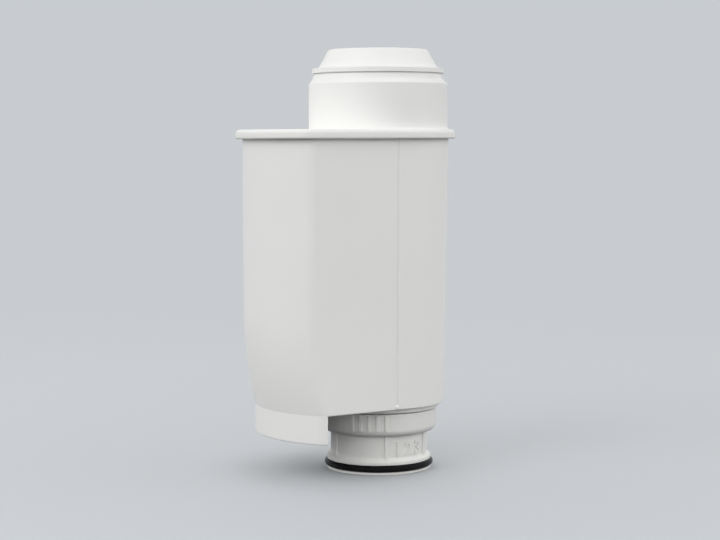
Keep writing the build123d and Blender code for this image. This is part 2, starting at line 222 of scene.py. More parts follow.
class CapSizes(bpy.types.PropertyGroup):
    """Sizes of the filling cap"""

    top: length("Top", "Height of the cap's flat top", CAP_HIGH.z)
    plug_bottom: length("Plug bottom", "Height of the plug's lower edge", CAP_LOW.z)
    plug_radius: length("Plug", "Radius of the plug in the tower's mouth", 19.2 * MM)
    plug_wall: length("Plug wall", "Thickness of the plug's wall", 1.6 * MM)
    ring_radius: length("Ring", "Radius of the pull ring", CAP_HIGH.x)
    ring_thickness: length("Ring thickness", "Thickness of the pull ring", 1.5 * MM)
    groove_depth: length("Groove depth", "Depth of the groove below the ring", 0.7 * MM)
    groove_height: length("Groove", "Height of the groove below the ring", 0.2 * MM)
    head_base: length("Head base", "Radius of the conical head at the ring", 18.5 * MM)
    head_top: length("Head top", "Radius of the conical head at its top", 15.3 * MM)
    head_wall: length("Head wall", "Thickness of the conical head", 1.8 * MM)
    foot_rounding: length("Foot rounding", "Radius where the head meets the ring", 1.6 * MM)
    top_rounding: length("Top rounding", "Radius of the head's upper edge", 0.9 * MM)
    edge_rounding: length("Edge rounding", "Radius of the ring's edges", 0.15 * MM)


class DialSizes(bpy.types.PropertyGroup):
    """Sizes of the setting dial with its nozzle, and of the nozzle's seal"""

    top: length("Top", "Height of the collar's upper edge", DIAL_HIGH.z)
    outlet: length("Outlet", "Radius of the outlet", 12.2 * MM)
    bore: length("Bore", "Radius of the bore that turns on the spigot", 13.06 * MM)
    foot: length("Foot", "Height of the nozzle's foot inside", 5.0 * MM)
    snap_bottom: length("Snap bottom", "Height of the snap groove's lower edge", 6.2 * MM)
    snap_height: length("Snap height", "Height of the snap groove", 1.4 * MM)
    snap_radius: length("Snap groove", "Radius of the snap groove", 13.65 * MM)
    neck: length("Neck", "Radius of the neck", 15.1 * MM)
    neck_foot: length("Neck foot", "Radius of the fillet at the neck's foot", 0.8 * MM)
    land: length("Land", "Radius of the two lands beside the seal", 16.25 * MM)
    land_rounding: length("Land rounding", "Radius of the lands' edges", 0.3 * MM)
    land_flare: length("Land flare", "Height of the cone from the upper land to the neck", 1.1 * MM)
    seal_radius: length("Seal", "Outer radius of the nozzle's seal", SEAL_HIGH.x)
    seal_cord: length("Seal cord", "Diameter of the seal's cord", SEAL_HIGH.z - SEAL_LOW.z)
    seal_gap: length("Seal gap", "Clearance of the seal in its groove", 0.05 * MM)
    upper_land: length("Upper land", "Height of the land above the seal", 1.0 * MM)
    collar: length("Collar", "Radius of the collar", 17.95 * MM)
    collar_bottom: length("Collar bottom", "Height of the collar's lower edge", 11.9 * MM)
    collar_wall: length("Collar wall", "Thickness of the collar", 1.6 * MM)
    collar_rounding: length("Collar rounding", "Radius of the collar's lower edge", 2.2 * MM)
    grip_width: length("Grip rib", "Width of the grip ribs", 1.2 * MM)
    grip_proud: length("Grip rib height", "How far the grip ribs stand out", 0.35 * MM)
    grip_start: angle("Grip start", "Direction of the first grip rib", -42.0)
    grip_pitch: angle("Grip pitch", "Angle between grip ribs", 8.5)
    grip_wrap: angle("Grip wrap", "How far the grip ribs follow the rounded lower edge", 8.0)
    grip_count: count("Grip ribs", "Grip ribs on each side", 5)
    rib_width: length("Neck rib", "Width of the ribs on the neck", 1.1 * MM)
    rib_proud: length("Neck rib height", "How far the ribs on the neck stand out", 0.6 * MM)
    stop_width: length("Stop", "Width of the stops in the collar", 2.2 * MM)
    stop_gap: length("Stop gap", "Clearance between a stop and the lug", 0.3 * MM)
    setting_lead: angle("Setting lead", "Angle from rest to the first setting", 7.5)
    setting_step: angle("Setting step", "Angle between two settings", 14.25)
    hole_radius: length("Metering hole", "Radius of the first metering hole", 0.4 * MM)
    hole_growth: length("Hole growth", "How much larger each next metering hole is", 0.3 * MM)
    numeral_height: length("Numerals", "Height of the raised numerals", 4.6 * MM)
    numeral_level: length("Numeral level", "Height of the numerals' middle", 7.8 * MM)
    numeral_proud: length("Numeral relief", "How far the numerals stand out", 0.4 * MM)
    numeral_weight: length("Numeral weight", "How much bolder the numerals' strokes are", 0.13 * MM)


class FinishColours(bpy.types.PropertyGroup):
    """Colours of the finishes"""

    white: colour("White plastic", "Satin white of the housing, the lid and the cap", (0.845, 0.847, 0.832))
    white_warm: colour("Warm white", "Tone that the white drifts to", (0.805, 0.803, 0.78))
    # Painted shade: the dial is the housing's white plastic, given a darker tone for the shade it sits in
    # under the body
    dial: colour("Dial plastic", "White of the dial", (0.78, 0.78, 0.755))
    screen: colour("Screen plastic", "White of the screens and the strainer", (0.74, 0.75, 0.75))
    rubber: colour("Rubber", "Black of the seal rings", (0.004, 0.004, 0.0045))
    fleece: colour("Fleece", "Off-white of the fleece pads", (0.72, 0.70, 0.64))
    granules: colour("Granules", "Brown of the filter granules", (0.16, 0.09, 0.04))


class StageSettings(bpy.types.PropertyGroup):
    """Floor, background, lamps and camera"""

    floor: colour("Floor", "Colour of the floor", (0.55, 0.575, 0.60))
    background: colour("Background", "Colour behind the floor", (0.58, 0.605, 0.63))
    bounce: colour("Bounce", "Colour of the light that the floor throws back", (0.05, 0.051, 0.053))
    sky_low: amount("Low sky", "Strength of the light from all round at the horizon", 1.3)
    sky_middle: amount("Middle sky", "Strength of the light from all round at a middle height", 1.9)
    sky_high: amount("High sky", "Strength of the light straight from above", 0.05)
    key: amount("Key lamp", "Power of the large lamp at the upper left", 1.5)
    fill: amount("Fill lamp", "Power of the low lamp at the right", 0.45)
    fade_start: length("Fade start", "Distance at which the floor starts to fade into the background", 0.2)
    fade_end: length("Fade end", "Distance at which the floor is one with the background", 0.9)
    azimuth: angle("Azimuth", "Direction that the camera looks from", 75.0)
    pitch: angle("Pitch", "How far the camera looks down", 4.31)
    roll: angle("Roll", "How far the camera leans", -0.15)
    distance: length("Distance", "Distance from the camera to the nozzle's axis", 541.4 * MM)
    height: length("Height", "Height of the camera", 102.6 * MM)
    sideways: length("Sideways", "How far the camera stands to the side", -5.72 * MM)
    lens: amount("Lens", "Focal length in millimetres", 87.0)


class BodyPlan:
    """The body's outline: a round end, two flat sides, two corners and a bowed front."""

    def __init__(self, sizes):
        self.sizes = sizes

    def growth(self, level):
        """How far each side lies outside its place at the mouth, which is negative below the mouth."""
        sizes = self.sizes
        return sizes.draft * (level - sizes.mouth) / (sizes.mouth - sizes.body_bottom)

    def front(self, level):
        """Distance of the front's middle from the nozzle's axis."""
        sizes = self.sizes
        below = max(0.0, sizes.tuck_height - (level - sizes.body_bottom))
        return sizes.front_reach - sizes.tuck * (below / sizes.tuck_height) ** 2

    def side(self, level):
        """Direction of the right flat side's normal."""
        across, along = self.corner(level)
        taper = self.sizes.end_radius + self.growth(level) - self.sizes.corner_radius
        return atan2(along, across) + acos(taper / hypot(across, along))

    def corner(self, level):
        """Centre of the right corner's arc."""
        across = self.sizes.half_width - self.sizes.corner_radius + self.growth(level)
        return across, self.sizes.corner_setback - self.front(level)

    def half(self, level, inset):
        """Points of the outline's right half, from the front's middle to the round end's middle."""
        sizes = self.sizes
        end = sizes.end_radius + self.growth(level) - inset
        across, along = self.corner(level)
        corner = sizes.corner_radius - inset
        side = self.side(level)
        spread = sizes.corner_setback**2 + across**2 - sizes.corner_radius**2
        bow = spread / (2 * (sizes.corner_setback - sizes.corner_radius))
        bow_centre = bow - self.front(level)
        front = atan2(along - bow_centre, across)
        corner_end = Vector((across + corner * cos(side), along + corner * sin(side)))
        end_start = Vector((end * cos(side), end * sin(side)))
        points = arc(Vector((0.0, bow_centre)), bow - inset, -pi / 2, front, FRONT_STEPS)
        points += arc(Vector((across, along)), corner, front, side, CORNER_STEPS)
        points += [corner_end.lerp(end_start, step / SIDE_STEPS) for step in range(SIDE_STEPS)]
        return points + arc(Vector((0.0, 0.0)), end, side, pi / 2, END_STEPS) + [Vector((0.0, end))]

    def ring(self, level, inset, height=None):
        """Points of the outline at a level, all at one height."""
        half = self.half(level, inset)
        return both_halves(half, half[-2:0:-1], level if height is None else height)

    def front_ring(self, inset, back, height):
        """Points of the skirt's outline: the part of the body's plan ahead of a straight back."""
        half = self.half(self.sizes.body_bottom, inset)
        ahead = [point for point in half if point.y < -back]
        last, beyond = ahead[-1], half[len(ahead)]
        ahead.append(last.lerp(beyond, (-back - last.y) / (beyond.y - last.y)))
        return both_halves(ahead, ahead[:0:-1], height)

    def circle(self, radius, height):
        """Points of a circle about the nozzle's axis, in the directions of the outline's points."""
        ways = [point.xy.normalized() for point in self.ring(self.sizes.mouth, 0.0)]
        return [Vector((radius * way.x, radius * way.y, height)) for way in ways]

    def side_reach(self, level):
        """Distance of the flat side from the nozzle's axis, straight across."""
        return (self.sizes.end_radius + self.growth(level)) / cos(self.side(level))


def arc(centre, radius, start, end, steps):
    """Points along an arc in plan, without its last one."""
    angles = [start + (end - start) * step / steps for step in range(steps)]
    return [centre + radius * Vector((cos(a), sin(a))) for a in angles]


def both_halves(right, mirrored, height):
    """A closed ring at a height, from points on the right and points to be mirrored to the left."""
    ring = [Vector((point.x, point.y, height)) for point in right]
    return ring + [Vector((-point.x, point.y, height)) for point in mirrored]


def circle_ring(radius, height, steps):
    """Evenly spaced points of a circle about the nozzle's axis."""
    angles = [2 * pi * step / steps for step in range(steps)]
    return [Vector((radius * cos(a), radius * sin(a), height)) for a in angles]


def rounded(profile):
    """A profile of (radius, height, rounding) corners with its corners rounded, as (radius, height)."""
    points = []
    last = len(profile) - 1
    for index, (radius, height, rounding) in enumerate(profile):
        corner = Vector((radius, height))
        if rounding == 0 or index in (0, last):
            points.append(corner)
            continue
        before = Vector(profile[index - 1][:2]) - corner
        after = Vector(profile[index + 1][:2]) - corner
        half = before.angle(after) / 2
        reach = rounding / tan(half)
        centre = corner + (before.normalized() + after.normalized()).normalized() * (rounding / sin(half))
        start = corner + before.normalized() * reach - centre
        sweep = start.angle_signed(corner + after.normalized() * reach - centre)
        for step in range(ROUNDING_STEPS + 1):
            turn = Matrix.Rotation(-sweep * step / ROUNDING_STEPS, 2)
            points.append(centre + turn @ start)
    return points


def select_only(piece):
    """Select one object and make it active."""
    bpy.ops.object.select_all(action="DESELECT")
    piece.select_set(True)
    bpy.context.view_layer.objects.active = piece


def added(name):
    """The object that was added last, under its name."""
    piece = bpy.context.object
    piece.name = piece.data.name = name
    return piece


def extrude_rings(name, rings, closed=False):
    """Model a piece from a circle, extruded ring by ring; a closed one ends where it starts."""
    bpy.ops.object.select_all(action="DESELECT")
    bpy.ops.mesh.primitive_circle_add(vertices=len(rings[0]), radius=HOUSING_HIGH.y)
    piece = added(name)
    bpy.ops.object.mode_set(mode="EDIT")
    mesh = bmesh.from_edit_mesh(piece.data)
    order = mesh.verts.layers.int.new("order")
    for index, vert in enumerate(mesh.verts):
        vert[order] = index
        vert.co = rings[0][index]
    bmesh.update_edit_mesh(piece.data)
    for ring in rings[1:]:
        bpy.ops.mesh.extrude_region_move()
        mesh = bmesh.from_edit_mesh(piece.data)
        order = mesh.verts.layers.int["order"]
        for vert in mesh.verts:
            if vert.select:
                vert.co = ring[vert[order]]
        bmesh.update_edit_mesh(piece.data)
    bpy.ops.mesh.select_all(action="SELECT")
    if closed:
        bpy.ops.mesh.remove_doubles(threshold=MERGE_DISTANCE)
    else:
        bpy.ops.mesh.fill_holes(sides=0)
    bpy.ops.mesh.normals_make_consistent(inside=False)
    bpy.ops.object.mode_set(mode="OBJECT")
    piece.data.attributes.remove(piece.data.attributes["order"])
    return piece


def turn(name, profile, closed=False):
    """Model a round piece about the nozzle's axis from a profile of (radius, height, rounding)."""
    rings = [circle_ring(point.x, point.y, TURN_STEPS) for point in rounded(profile)]
    return extrude_rings(name, rings, closed)


def block(name, low, high, rounding=0.0):
    """Model a block between two corners, with its edges rounded."""
    bpy.ops.object.select_all(action="DESELECT")
    bpy.ops.mesh.primitive_cube_add(size=1.0, location=(low + high) / 2, scale=high - low)
    piece = added(name)
    bpy.ops.object.transform_apply(location=True, rotation=True, scale=True)
    if rounding > 0:
        bpy.ops.object.mode_set(mode="EDIT")
        bpy.ops.mesh.select_all(action="SELECT")
        bpy.ops.mesh.bevel(offset=rounding, segments=EDGE_SEGMENTS, affect="EDGES")
        bpy.ops.object.mode_set(mode="OBJECT")
    return piece


def round_edges_at(piece, height, rounding):
    """Round the edges of a piece that lie at a height."""
    select_only(piece)
    bpy.ops.object.mode_set(mode="EDIT")
    bpy.ops.mesh.select_mode(type="EDGE")
    bpy.ops.mesh.select_all(action="DESELECT")
    mesh = bmesh.from_edit_mesh(piece.data)
    for edge in mesh.edges:
        edge.select_set(all(abs(vert.co.z - height) < MERGE_DISTANCE for vert in edge.verts))
    bmesh.update_edit_mesh(piece.data)
    bpy.ops.mesh.bevel(offset=rounding, segments=ROUNDING_STEPS, affect="EDGES")
    bpy.ops.object.mode_set(mode="OBJECT")


def copies_around(piece, directions):
    """Turn copies of a piece about the nozzle's axis to each direction and join them into it."""
    model = piece.data.copy()
    piece.data.transform(Matrix.Rotation(directions[0], 4, "Z"))
    parts = [piece]
    for direction in directions[1:]:
        mesh = model.copy()
        mesh.transform(Matrix.Rotation(direction, 4, "Z"))
        part = bpy.data.objects.new(piece.name, mesh)
        bpy.context.scene.collection.objects.link(part)
        parts.append(part)
    bpy.data.meshes.remove(model)
    select_only(piece)
    for part in parts:
        part.select_set(True)
    if len(parts) > 1:
        bpy.ops.object.join()
    return piece


def combine(piece, tool, operation):
    """Unite a piece with a tool or cut the tool out of it, and remove the tool."""
    step = piece.modifiers.new("Combine", "BOOLEAN")
    step.operation = operation
    step.object = tool
    step.solver = "EXACT"
    select_only(piece)
    bpy.ops.object.modifier_apply(modifier=step.name)
    bpy.data.objects.remove(tool)


def bore_tool(name, radius, start, end, direction):
    """Model a round cutter that runs outwards from the nozzle's axis in a direction."""
    bpy.ops.object.select_all(action="DESELECT")
    bpy.ops.mesh.primitive_cylinder_add(vertices=HOLE_SIDES, radius=radius, depth=end - start)
    tool = added(name)
    tool.data.transform(Matrix.Translation((0, 0, (start + end) / 2)))
    tool.data.transform(Matrix.Rotation(direction, 4, "Z") @ Matrix.Rotation(pi / 2, 4, "Y"))
    return tool


def finish_surface(piece):
    """Shade a piece smooth between its edges, with flat faces kept flat."""
    select_only(piece)
    bpy.ops.object.shade_smooth_by_angle(angle=SMOOTH_ANGLE)
    weigh = piece.modifiers.new("Weighted normals", "WEIGHTED_NORMAL")
    weigh.keep_sharp = True
    bpy.ops.object.modifier_apply(modifier=weigh.name)


def dress(piece, body, material, node=None):
    """Give a finished piece its material and its body, and hide the CAD node that it stands for."""
    piece.data.materials.clear()
    piece.data.materials.append(material)
    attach(piece, body)
    if node:
        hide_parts(node)


def add_node(tree, kind, values=None, wires=None, **settings):
    """Add a shader node with its settings, the values of its inputs and the outputs wired into them."""
    node = tree.nodes.new("ShaderNode" + kind)
    for key, value in settings.items():
        setattr(node, key, value)
    for key, value in (values or {}).items():
        node.inputs[key].default_value = value
    for key, output in (wires or {}).items():
        tree.links.new(output, node.inputs[key])
    return node


def mixed(tree, factor, first, second):
    """The output of a node that mixes two shaders."""
    return add_node(tree, "MixShader", wires={0: factor, 1: first, 2: second}).outputs[0]


def seen_directly(tree):
    """Whether a ray comes from the camera, or from a reflection or a clear material."""
    rays = add_node(tree, "LightPath").outputs
    found = rays["Is Camera Ray"]
    for kind in ("Is Glossy Ray", "Is Transmission Ray"):
        found = add_node(tree, "Math", wires={0: found, 1: rays[kind]}, operation="MAXIMUM").outputs[0]
    return found


def shade(tone, share):
    """A tone made darker, or lighter by a share over one."""
    return [share * value for value in tone]


class Finish:
    """A material whose nodes are added one by one."""

    # Sockets of a colour mix, which share their names with its other kinds
    FIRST_TONE, SECOND_TONE, MIXED_TONE = 6, 7, 2

    def __init__(self, name):
        self.material = bpy.data.materials.new(name)
        self.material.use_nodes = True
        self.tree = self.material.node_tree
        self.shader = self.tree.nodes["Principled BSDF"]
        self.place = add_node(self.tree, "TexCoord").outputs["Object"]

    def set_inputs(self, values):
        """Set inputs of the shader itself."""
        for key, value in values.items():
            self.shader.inputs[key].default_value = value

    def noise(self, scale, detail):
        """Noise on the piece's own coordinates."""
        values = {"Scale": scale, "Detail": detail}
        return add_node(self.tree, "TexNoise", values, {"Vector": self.place}).outputs["Fac"]

    def cells(self, scale):
        """Distance to the nearest of scattered points on the piece's own coordinates."""
        pattern = add_node(self.tree, "TexVoronoi", {"Scale": scale}, {"Vector": self.place})
        return pattern.outputs["Distance"]

    def tint(self, factor, first, second):
        """Colour that drifts between two tones."""
        tones = {self.FIRST_TONE: (*first, 1.0), self.SECOND_TONE: (*second, 1.0)}
        mix = add_node(self.tree, "Mix", tones, {0: factor}, data_type="RGBA")
        self.tree.links.new(mix.outputs[self.MIXED_TONE], self.shader.inputs["Base Color"])

    def gloss(self, factor, low, high):
        """Roughness that drifts between two values."""
        spread = add_node(self.tree, "MapRange", {"To Min": low, "To Max": high}, {"Value": factor})
        self.tree.links.new(spread.outputs["Result"], self.shader.inputs["Roughness"])

    def bump(self, height, strength, distance):
        """Fine relief from a pattern."""
        values = {"Strength": strength, "Distance": distance}
        relief = add_node(self.tree, "Bump", values, {"Height": height})
        self.tree.links.new(relief.outputs["Normal"], self.shader.inputs["Normal"])


def satin_plastic(name, tone, drift):
    """Moulded plastic with a fine satin grain and a slight drift of tone."""
    if name in bpy.data.materials:
        return bpy.data.materials[name]
    finish = Finish(name)
    finish.tint(finish.noise(scale=38.0, detail=2.0), tone, drift)
    finish.gloss(finish.noise(scale=160.0, detail=3.0), low=0.36, high=0.46)
    finish.bump(finish.noise(scale=2600.0, detail=2.0), strength=0.05, distance=0.2 * MM)
    finish.set_inputs({
        "IOR": 1.49,
        "Subsurface Weight": 0.12,
        "Subsurface Radius": (1.0, 0.95, 0.85),
        "Subsurface Scale": 1.5 * MM,
    })
    return finish.material


def seal_rubber(name, tone):
    """Smooth black rubber with a thin film of grease."""
    if name in bpy.data.materials:
        return bpy.data.materials[name]
    finish = Finish(name)
    finish.tint(finish.noise(scale=300.0, detail=3.0), tone, shade(tone, share=2.2))
    finish.gloss(finish.noise(scale=420.0, detail=3.0), low=0.2, high=0.36)
    finish.bump(finish.noise(scale=1800.0, detail=3.0), strength=0.08, distance=0.2 * MM)
    finish.set_inputs({"Specular IOR Level": 0.1})
    return finish.material


def fleece_fibre(name, tone):
    """Pressed fibre fleece."""
    finish = Finish(name)
    finish.tint(finish.noise(scale=700.0, detail=6.0), tone, shade(tone, share=0.75))
    finish.gloss(finish.noise(scale=500.0, detail=4.0), low=0.85, high=1.0)
    finish.bump(finish.noise(scale=1500.0, detail=8.0), strength=0.8, distance=0.6 * MM)
    return finish.material


def bead_granules(name, tone):
    """Packed round beads."""
    finish = Finish(name)
    finish.tint(finish.noise(scale=900.0, detail=1.0), tone, shade(tone, share=0.3))
    finish.gloss(finish.noise(scale=600.0, detail=1.0), low=0.3, high=0.55)
    finish.bump(finish.cells(scale=1400.0), strength=1.0, distance=0.6 * MM)
    return finish.material


def white_finish(context):
    """The satin white of the housing, the lid and the cap."""
    colours = context.scene.filter_colours
    return satin_plastic("satin_white_plastic", colours.white, colours.white_warm)


def dial_finish_painted_shade(context):
    """The white of the dial, with painted shade: a darker copy of the housing's white for the shade under
    the body.
    """
    colours = context.scene.filter_colours
    return satin_plastic("dial_white_plastic", colours.dial, shade(colours.dial, share=0.96))


class FILTER_OT_housing(bpy.types.Operator):
    """Model the housing with its inlet skirt, divider and spigot"""

    bl_idname = "water_filter.housing"
    bl_label = "Housing"

    def execute(self, context):
        sizes = context.scene.filter_housing
        plan = BodyPlan(sizes)
        housing = self.shell(sizes, plan)
        combine(housing, self.skirt(sizes, plan), "UNION")
        skirt_low = sizes.body_bottom - sizes.skirt_drop - MM
        floor_high = sizes.body_bottom + sizes.floor + MM
        space = self.prism("skirt_space", sizes, plan, 0.0, skirt_low, sizes.body_bottom)
        combine(housing, space, "DIFFERENCE")
        window = self.prism("inlet_window", sizes, plan, sizes.ledge, sizes.body_bottom - MM, floor_high)
        combine(housing, window, "DIFFERENCE")
        self.add_divider(housing, sizes)
        self.add_boss(housing, sizes)
        self.add_floor_ribs(housing, sizes, context.scene.filter_spigot)
        self.add_spigot(housing, sizes, context.scene.filter_spigot, context.scene.filter_dial)
        for side in (0.0, pi):
            combine(housing, self.parting_line(sizes, plan, side), "DIFFERENCE")
        combine(housing, self.index_mark(sizes, plan), "UNION")
        finish_surface(housing)
        dress(housing, "cartridge", white_finish(context), "housing")
        return {"FINISHED"}

    def shell(self, sizes, plan):
        """The body's walls and floor, open at the mouth."""
        rings = []
        rounding = sizes.bottom_rounding
        for step in range(ROUNDING_STEPS + 1):
            turned = pi / 2 * step / ROUNDING_STEPS
            level = sizes.body_bottom + rounding * (1 - cos(turned))
            rings.append(plan.ring(level, rounding * (1 - sin(turned))))
        tuck_top = sizes.body_bottom + sizes.tuck_height
        for step in range(1, TUCK_RINGS + 1):
            share = step / TUCK_RINGS
            level = sizes.body_bottom + rounding + (sizes.tuck_height - rounding) * share
            rings.append(plan.ring(level, 0.0))
        rings.append(plan.ring((tuck_top + sizes.mouth) / 2, 0.0))
        rings.append(plan.ring(sizes.mouth, 0.0))
        rings.append(plan.ring(sizes.mouth, sizes.wall))
        floor_top = sizes.body_bottom + sizes.floor
        for step in range(INNER_RINGS + 1):
            level = tuck_top + (floor_top - tuck_top) * step / INNER_RINGS
            rings.append(plan.ring(level, sizes.wall))
        return extrude_rings("housing_shell", rings)

    def prism(self, name, sizes, plan, ledge, bottom, top):
        """An upright block inside the skirt's walls, smaller by a ledge all round."""
        inset = sizes.wall + ledge
        back = sizes.divider_reach + inset
        return extrude_rings(name, [plan.front_ring(inset, back, height) for height in (bottom, top)])

    def skirt(self, sizes, plan):
        """The skirt's outer form, with its lower edge rounded, up into the body."""
        bottom = sizes.body_bottom - sizes.skirt_drop
        heights = (bottom, sizes.body_bottom + sizes.floor)
        rings = [plan.front_ring(0.0, sizes.divider_reach, height) for height in heights]
        skirt = extrude_rings("inlet_skirt", rings)
        round_edges_at(skirt, bottom, sizes.edge_rounding)
        return skirt

    def add_divider(self, housing, sizes):
        """The wall between the riser and the filter chamber, let into the side walls."""
        half = (sizes.half_width + sizes.end_radius) / 2 + sizes.wall / 2
        floor_inside = sizes.body_bottom + sizes.floor / 2
        low = Vector((-half, -sizes.divider_reach - sizes.wall, floor_inside))
        high = Vector((half, -sizes.divider_reach, sizes.mouth - sizes.overflow))
        combine(housing, block("divider", low, high), "UNION")

    def add_boss(self, housing, sizes):
        """The round boss under the body, which covers the top of the dial's collar."""
        inside = sizes.boss_radius - sizes.boss_wall
        bottom, root = sizes.body_bottom - sizes.boss_drop, sizes.body_bottom + sizes.floor / 2
        profile = [
            (inside, root, 0),
            (inside, bottom, 0),
            (sizes.boss_radius, bottom, sizes.edge_rounding),
            (sizes.boss_radius, root, 0),
            (inside, root, 0),
        ]
        combine(housing, turn("boss", profile, closed=True), "UNION")

    def add_floor_ribs(self, housing, sizes, spigot):
        """Ribs on the floor around the spigot's bore."""
        floor_top = sizes.body_bottom + sizes.floor
        low = Vector((spigot.radius, -sizes.rib_width / 2, floor_top - sizes.floor / 2))
        high = Vector((spigot.radius + sizes.rib_length, sizes.rib_width / 2, floor_top + sizes.rib_height))
        directions = [2 * pi * index / FLOOR_RIBS for index in range(FLOOR_RIBS)]
        combine(housing, copies_around(block("floor_ribs", low, high), directions), "UNION")

    def add_spigot(self, housing, sizes, spigot, dial):
        """The spigot with its bead, groove, bore, port and stop lug."""
        root = sizes.body_bottom + sizes.floor / 2
        bead = spigot.bottom + spigot.bead_rise
        groove = spigot.bottom + spigot.groove_rise
        wide, deep = spigot.radius + spigot.bead_proud, spigot.radius - spigot.groove_depth
        profile = [
            (spigot.radius, spigot.bottom, 0),
            (spigot.radius, bead, 0),
            (wide, bead, 0),
            (wide, bead + spigot.bead_height, 0),
            (spigot.radius, bead + spigot.bead_height, 0),
            (spigot.radius, groove, 0),
            (deep, groove, 0),
            (deep, groove + spigot.groove_height, 0),
            (spigot.radius, groove + spigot.groove_height, 0),
            (spigot.radius, root, 0),
        ]
        combine(housing, turn("spigot", profile), "UNION")
        bore_ends = (spigot.bottom - MM, sizes.body_bottom + sizes.floor + MM)
        bore = turn("spigot_bore", [(spigot.bore, height, 0) for height in bore_ends])
        combine(housing, bore, "DIFFERENCE")
        port = bore_tool("bypass_port", spigot.port_radius, 0.0, spigot.radius + MM, pi / 2)
        port.data.transform(Matrix.Translation((0, 0, sizes.body_bottom - spigot.port_drop)))
        combine(housing, port, "DIFFERENCE")
        cup_middle = (dial.neck + dial.collar - dial.collar_wall) / 2
        half = Vector((spigot.lug_width / 2, spigot.lug_thickness / 2, 0))
        low = Vector((0, -cup_middle, sizes.body_bottom - spigot.lug_length)) - half
        high = Vector((0, -cup_middle, root)) + half
        combine(housing, block("stop_lug", low, high), "UNION")

    def parting_line(self, sizes, plan, side):
        """A cutter for the fine groove up the middle of one flat side, from the index mark's height."""
        half = sizes.line_width / 2 * (1 + CUT_CLEARANCE / sizes.line_depth)
        section = [(-sizes.line_depth, 0.0), (CUT_CLEARANCE, -half), (CUT_CLEARANCE, half)]
        start, end = sizes.body_bottom + sizes.mark_rise, sizes.mouth + MM
        sign = cos(side)
        rings = []
        for step in range(LINE_RINGS + 1):
            level = start + (end - start) * step / LINE_RINGS
            reach = plan.side_reach(level)
            lean = tan(plan.side(level))
            places = [(sign * (reach + out - along * lean), along) for out, along in section]
            rings.append([Vector((*place, level)) for place in places])
        return extrude_rings("parting_line", rings)

    def index_mark(self, sizes, plan):
        """A small round mark on the side that the dial is read from, domed, with its crown set low."""
        level = sizes.body_bottom + sizes.mark_rise
        reach = plan.side_reach(level)
        around = [2 * pi * index / MARK_SIDES for index in range(MARK_SIDES)]
        rings = []
        for step in range(MARK_STEPS + 1):
            turned = pi / 2 * step / (MARK_STEPS + MARK_CROWN_STEP)
            out = sizes.mark_proud * sin(turned)
            radius = sizes.mark_radius * cos(turned)
            lowered = out * MARK_LEAN
            rings.append([(radius * cos(a) + lowered, radius * sin(a), out) for a in around])
        root = [(x, y, -sizes.wall / 2) for x, y, _ in rings[0]]
        upright = Matrix.Rotation(plan.side(level), 4, "Z") @ Matrix.Rotation(pi / 2, 4, "Y")
        stand = Matrix.Translation((reach, 0, level)) @ upright
        return extrude_rings("index_mark", [[stand @ Vector(p) for p in ring] for ring in [root] + rings])


class FILTER_OT_lid(bpy.types.Operator):
    """Model the lid with its flange and its tower"""

    bl_idname = "water_filter.lid"
    bl_label = "Lid"

    def execute(self, context):
        sizes = context.scene.filter_lid
        housing = context.scene.filter_housing
        plan = BodyPlan(housing)
        base = housing.mouth + sizes.flange
        bore = sizes.tower_radius - sizes.tower_wall
        shoulder = base + sizes.tower_height
        neck = sizes.tower_radius - sizes.shoulder_inset
        tower = rounded([
            (bore, housing.mouth, 0),
            (bore, sizes.tower_top, 0),
            (neck - sizes.lip_inset, sizes.tower_top, 0),
            (neck, shoulder + sizes.shoulder_height, sizes.shoulder_rounding),
            (sizes.tower_radius, shoulder, sizes.shoulder_rounding),
            (sizes.tower_radius, base, sizes.tower_foot),
            (sizes.tower_radius + 2 * sizes.tower_foot, base, 0),
        ])
        rim_outside = -housing.wall - sizes.fit_gap
        rim_inside = rim_outside - sizes.rim_thickness
        rim_bottom = housing.mouth - sizes.rim_depth
        flange = rounded([
            (sizes.overhang - FLANGE_EDGE_SHARE * sizes.flange_rounding, base, 0),
            (sizes.overhang, base, sizes.flange_rounding),
            (sizes.overhang, housing.mouth, sizes.under_rounding),
            (rim_outside, housing.mouth, 0),
            (rim_outside, rim_bottom, 0),
            (rim_inside, rim_bottom, 0),
            (rim_inside, housing.mouth, 0),
        ])
        rings = [plan.circle(point.x, point.y) for point in tower[:-1]]
        rings += [plan.ring(housing.mouth, -point.x, point.y) for point in flange]
        rings.append(rings[0])
        lid = extrude_rings("lid_moulding", rings, closed=True)
        finish_surface(lid)
        dress(lid, "cartridge", white_finish(context), "lid")
        return {"FINISHED"}


class FILTER_OT_cap(bpy.types.Operator):
    """Model the filling cap with its plug, pull ring and conical head"""

    bl_idname = "water_filter.cap"
    bl_label = "Filling cap"

    def execute(self, context):
        sizes = context.scene.filter_cap
        tower_top = context.scene.filter_lid.tower_top
        ring_bottom = tower_top + sizes.groove_height
        ring_top = ring_bottom + sizes.ring_thickness
        hollow = sizes.plug_radius - sizes.plug_wall
        groove = sizes.ring_radius - sizes.groove_depth
        edge = sizes.edge_rounding
        cap = turn("filling_cap_moulding", [
            (sizes.head_top - sizes.head_wall, sizes.top - sizes.head_wall, 0),
            (sizes.head_base - sizes.head_wall, ring_top, 0),
            (hollow, ring_bottom, 0),
            (hollow, sizes.plug_bottom, 0),
            (sizes.plug_radius, sizes.plug_bottom, edge),
            (sizes.plug_radius, tower_top, 0),
            (groove, tower_top, 0),
            (groove, ring_bottom, 0),
            (sizes.ring_radius, ring_bottom, edge),
            (sizes.ring_radius, ring_top, edge),
            (sizes.head_base, ring_top, sizes.foot_rounding),
            (sizes.head_top, sizes.top, sizes.top_rounding),
            (sizes.head_top / 2, sizes.top, 0),
        ])
        finish_surface(cap)
        dress(cap, "cartridge", white_finish(context), "filling_cap")
        return {"FINISHED"}


